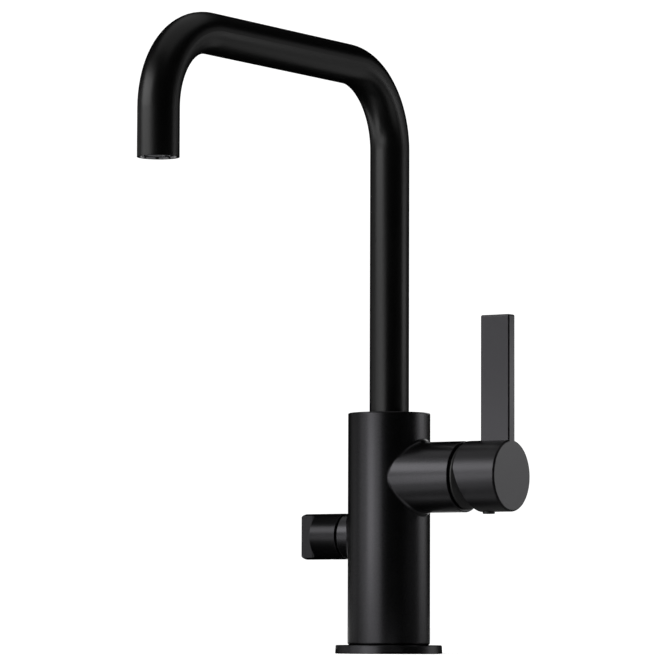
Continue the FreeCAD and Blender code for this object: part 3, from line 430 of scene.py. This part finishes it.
finishes["black_plastic"] = plastic_finish(
    "black_plastic", dark=(0.003, 0.003, 0.0033), light=(0.005, 0.005, 0.005), roughness=(0.42, 0.50),
    pit=0.0003, depth=0.000008)
finishes["grey_plastic"] = plastic_finish(
    "grey_plastic", dark=(0.07, 0.07, 0.074), light=(0.105, 0.105, 0.11), roughness=(0.32, 0.42),
    pit=0.0004, depth=0.000004)
finishes["white_plastic"] = plastic_finish(
    "white_plastic", dark=(0.70, 0.70, 0.67), light=(0.80, 0.80, 0.77), roughness=(0.30, 0.40),
    pit=0.0005, depth=0.000004)

# %% [markdown]
# ## Rubber
# Seals are pressed from black rubber. They are dull, a little dusty with talc, and their skin is softly
# uneven. A single dark colour would look like paint, so one noise lets the talc show in spots and makes
# the same spots rougher.

# %% Rubber
RUBBER_GLOSS = 0.35
DUST_SIZE = 0.0025
SKIN_SIZE = 0.0012
SKIN_DEPTH = 0.00002
PORE_SIZE = 0.0002
PORE_DEPTH = 0.000005


def rubber_finish(name, dark, talc, roughness):
    """Pressed rubber, from its own dark colour to that of talc."""
    material, tree, shader, coordinates = new_finish(name, specular=RUBBER_GLOSS)
    dust = grain(tree, coordinates, DUST_SIZE, detail=6.0)
    skin = grain(tree, coordinates, SKIN_SIZE)
    pores = grain(tree, coordinates, PORE_SIZE)
    link(tree, between(tree, dust, dark, talc), shader.inputs["Base Color"])
    link(tree, spread(tree, dust, *roughness), shader.inputs["Roughness"])
    relief(tree, shader, (skin, SKIN_DEPTH), (pores, PORE_DEPTH))
    return material


finishes["seal_rubber"] = rubber_finish(
    "seal_rubber", dark=(0.010, 0.010, 0.010), talc=(0.024, 0.024, 0.023), roughness=(0.60, 0.78))

# %% [markdown]
# ## Turned metals
# A lathe tool leaves a fine spiral round the axis that a piece was turned on. It could be cut as geometry,
# but a wave texture with bands across that axis draws it with no faces at all. At scale 1 a wave repeats
# every tenth of pi, so the scale follows from the feed of the tool. The bands set roughness and relief
# together, so that groove and crest differ in both. The socket of the spout was turned about the upright,
# the other brass pieces of the drawing about a level axis. The small steel pieces point several ways and
# share upright bands.

# %% Brass and steel
WAVE_PERIOD = math.pi / 10
WAVE_WOBBLE = 0.6
TARNISH_SIZE = 0.005
GROOVE_DEPTH = 0.000004
SCRATCH_SIZE = 0.0002
SCRATCH_DEPTH = 0.000001
BRASS = {"dark": (0.64, 0.44, 0.17), "light": (0.78, 0.58, 0.27), "roughness": (0.20, 0.34)}
STEEL = {"dark": (0.40, 0.41, 0.44), "light": (0.58, 0.58, 0.58), "roughness": (0.26, 0.40)}


def turned_finish(name, dark, light, roughness, axis, feed):
    """Metal turned about an axis, with one groove for each feed of the tool, in metres."""
    material, tree, shader, coordinates = new_finish(name, metallic=1.0)
    tarnish = grain(tree, coordinates, TARNISH_SIZE, detail=4.0)
    scratches = grain(tree, coordinates, SCRATCH_SIZE)
    groove = tree.nodes.new("ShaderNodeTexWave")
    groove.bands_direction = axis
    groove.inputs["Scale"].default_value = WAVE_PERIOD / feed
    groove.inputs["Distortion"].default_value = WAVE_WOBBLE
    link(tree, coordinates, groove.inputs["Vector"])
    link(tree, between(tree, tarnish, dark, light), shader.inputs["Base Color"])
    link(tree, spread(tree, groove.outputs["Fac"], *roughness), shader.inputs["Roughness"])
    relief(tree, shader, (groove.outputs["Fac"], GROOVE_DEPTH), (scratches, SCRATCH_DEPTH))
    return material


finishes["turned_brass"] = turned_finish("turned_brass_level", **BRASS, axis="X", feed=0.0002)
finishes["screw_steel"] = turned_finish("screw_steel", **STEEL, axis="Z", feed=0.0005)
upright_brass = turned_finish("turned_brass_upright", **BRASS, axis="Z", feed=0.0002)

# %% [markdown]
# ## Ceramic
# The discs that meter the water are sintered and then lapped until two of them cling together. They shine
# almost like glass, over a body that is very faintly mottled. A glass shader would let light through, so
# this is the plain Principled one again, with little roughness.

# %% Ceramic
MOTTLE_SIZE = 0.0009
LAPPED_DEPTH = 0.0000005


def ceramic_finish(name, dark, light, roughness):
    """Lapped ceramic with a faint mottle."""
    material, tree, shader, coordinates = new_finish(name)
    mottle = grain(tree, coordinates, MOTTLE_SIZE, detail=5.0)
    link(tree, between(tree, mottle, dark, light), shader.inputs["Base Color"])
    link(tree, spread(tree, mottle, *roughness), shader.inputs["Roughness"])
    relief(tree, shader, (mottle, LAPPED_DEPTH))
    return material


finishes["disc_ceramic"] = ceramic_finish(
    "disc_ceramic", dark=(0.80, 0.78, 0.74), light=(0.88, 0.87, 0.83), roughness=(0.06, 0.14))

# %% [markdown]
# ## Every finish in its place
# A material can be put on a piece by hand, but the drawing already names a material slot for each one. So
# a loop looks up the slot, and only four pieces ask for a finish of their own.

# %% Finishes on the pieces
own_finish = {"spout_socket": upright_brass, "spout_tube": spout_coat,
              "lever_handle": lever_coat, "valve_knob": shaded_knob_coat}
slot_of = {part["node"]: part["material_slot"] for part in frame["record"]["subparts"]}
for name, piece in frame["nodes"].items():
    piece.data.materials.clear()
    piece.data.materials.append(own_finish.get(name, finishes[slot_of[name]]))
print(f"{len(finishes)} finishes on {len(frame['nodes'])} pieces, {len(own_finish)} of them with their own")

# %% [markdown]
# ## Threads
# The drawing has plain bores where the hoses and the fixing studs screw in. A thread is a ridge with a
# triangular section that winds round the bore. A screw modifier could wind it, but building its points
# turn by turn is as short and shows how a helix works: the angle and the height grow together, one pitch
# for each whole turn. Half the ridge's root and its height are given as shares of the pitch.

# %% Thread helper
TURN_STEPS = 32
PITCH = 0.001
THREAD_START = 0.0005
HALF_ROOT = 0.45
RIDGE_HEIGHT = 0.55
MERGE = 0.00002


def thread(name, x, y, radius, length, metal):
    """A right-handed ridge inside an upright bore, merged with its wall. It fades in and out over its
    first and last turn."""
    steps = round(TURN_STEPS * (length / PITCH - 1))
    points, faces = [], []
    for step in range(steps + 1):
        angle = 2 * math.pi * step / TURN_STEPS
        middle = THREAD_START + PITCH * (0.5 + step / TURN_STEPS)
        grown = min(1, step / TURN_STEPS, (steps - step) / TURN_STEPS)
        for reach, rise in ((MERGE, -HALF_ROOT), (-RIDGE_HEIGHT * grown * PITCH, 0), (MERGE, HALF_ROOT)):
            points.append((x + (radius + reach) * math.cos(angle), y + (radius + reach) * math.sin(angle),
                           middle + rise * PITCH))
    for step in range(steps):
        here, there = 3 * step, 3 * step + 3
        for side in range(3):
            after = (side + 1) % 3
            faces.append((here + side, here + after, there + after, there + side))
    faces += [(2, 1, 0), (3 * steps, 3 * steps + 1, 3 * steps + 2)]
    made = new_object(name, points, faces)
    made.data.materials.append(metal)
    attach(made, "column")
    print(f"{name}: {steps / TURN_STEPS:.0f} turns")


# %% [markdown]
# ## The threads in the underside
# Three hoses screw in below: hot, cold and the one to the dishwasher. Two studs hold the tap down. Their
# places could be typed in again, but the drawing's record holds them, so the threads follow the bores. A
# thread cutter leaves finer marks than a lathe tool, so the threads have a brass of their own.

# %% Threads
STUD_THREAD = 0.014
cut_brass = turned_finish("cut_brass", **BRASS, axis="Z", feed=0.0001)
mounts = {mount["name"]: mount for mount in frame["record"]["mounts"]}
for port in ("hot_inlet", "cold_inlet", "dishwasher_outlet"):
    x, y, _ = mounts[port]["pos_m"]
    bore = mounts[port]["dims"]
    port_thread = bore["length_mm"] / 1000 - 2 * THREAD_START
    thread(f"thread_{port}", x, y, bore["r_mm"] / 1000, port_thread, cut_brass)
studs = mounts["stud_holes"]["dims"]
stud_place = studs["spacing_y_mm"] / 2000
for side, name in ((-1, "front"), (1, "back")):
    thread(f"thread_stud_{name}", 0, side * stud_place, studs["hole_r_mm"] / 1000, STUD_THREAD, cut_brass)

# %% [markdown]
# ## The aerator's rim
# Seen from below, the mouth of the spout is closed by the aerator. Its last visible part is a grey rim
# inside the tube, cut into merlons so that a key can turn it out. The notches could be cut from a ring
# with booleans, but a ring of small blocks is cleaner: each one is a bent box between two radii, two
# heights and two angles.

# %% Rim with key notches
NOTCHES = 8
NOTCH_SHARE = 0.25
BLOCK_STEPS = 12
RIM_WALL = 0.0011
RIM_DROP = 0.0008
RIM_GAP = 0.00005


def rim_block(points, faces, centre, inner, outer, low, high, first, last):
    """Add one bent box round an upright axis to a mesh's points and faces."""
    base = len(points)
    for step in range(BLOCK_STEPS + 1):
        angle = first + (last - first) * step / BLOCK_STEPS
        for radius, height in ((inner, low), (outer, low), (outer, high), (inner, high)):
            points.append((centre[0] + radius * math.cos(angle), centre[1] + radius * math.sin(angle),
                           height))
    for step in range(BLOCK_STEPS):
        here, there = base + 4 * step, base + 4 * step + 4
        for side in range(4):
            after = (side + 1) % 4
            faces.append((here + side, there + side, there + after, here + after))
    end = base + 4 * BLOCK_STEPS
    faces += [(base, base + 1, base + 2, base + 3), (end + 3, end + 2, end + 1, end)]


sleeve_low, sleeve_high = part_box("outlet_sleeve")
outlet = ((sleeve_low[0] + sleeve_high[0]) / 2, (sleeve_low[1] + sleeve_high[1]) / 2)
rim_outer = (sleeve_high[0] - sleeve_low[0]) / 2 - RIM_GAP
rim_low = sleeve_low[2] - RIM_DROP
rim_high = sleeve_low[2] - RIM_GAP
block_angle = 2 * math.pi / NOTCHES * (1 - NOTCH_SHARE)
points, faces = [], []
for notch in range(NOTCHES):
    first = 2 * math.pi * notch / NOTCHES
    rim_block(points, faces, outlet, rim_outer - RIM_WALL, rim_outer, rim_low, rim_high,
              first, first + block_angle)
rim_piece = new_object("aerator_rim", points, faces)
rim_piece.data.materials.append(finishes["grey_plastic"])
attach(rim_piece, "spout")
print(f"aerator rim {2000 * rim_outer:.1f} mm across, {NOTCHES} notches")
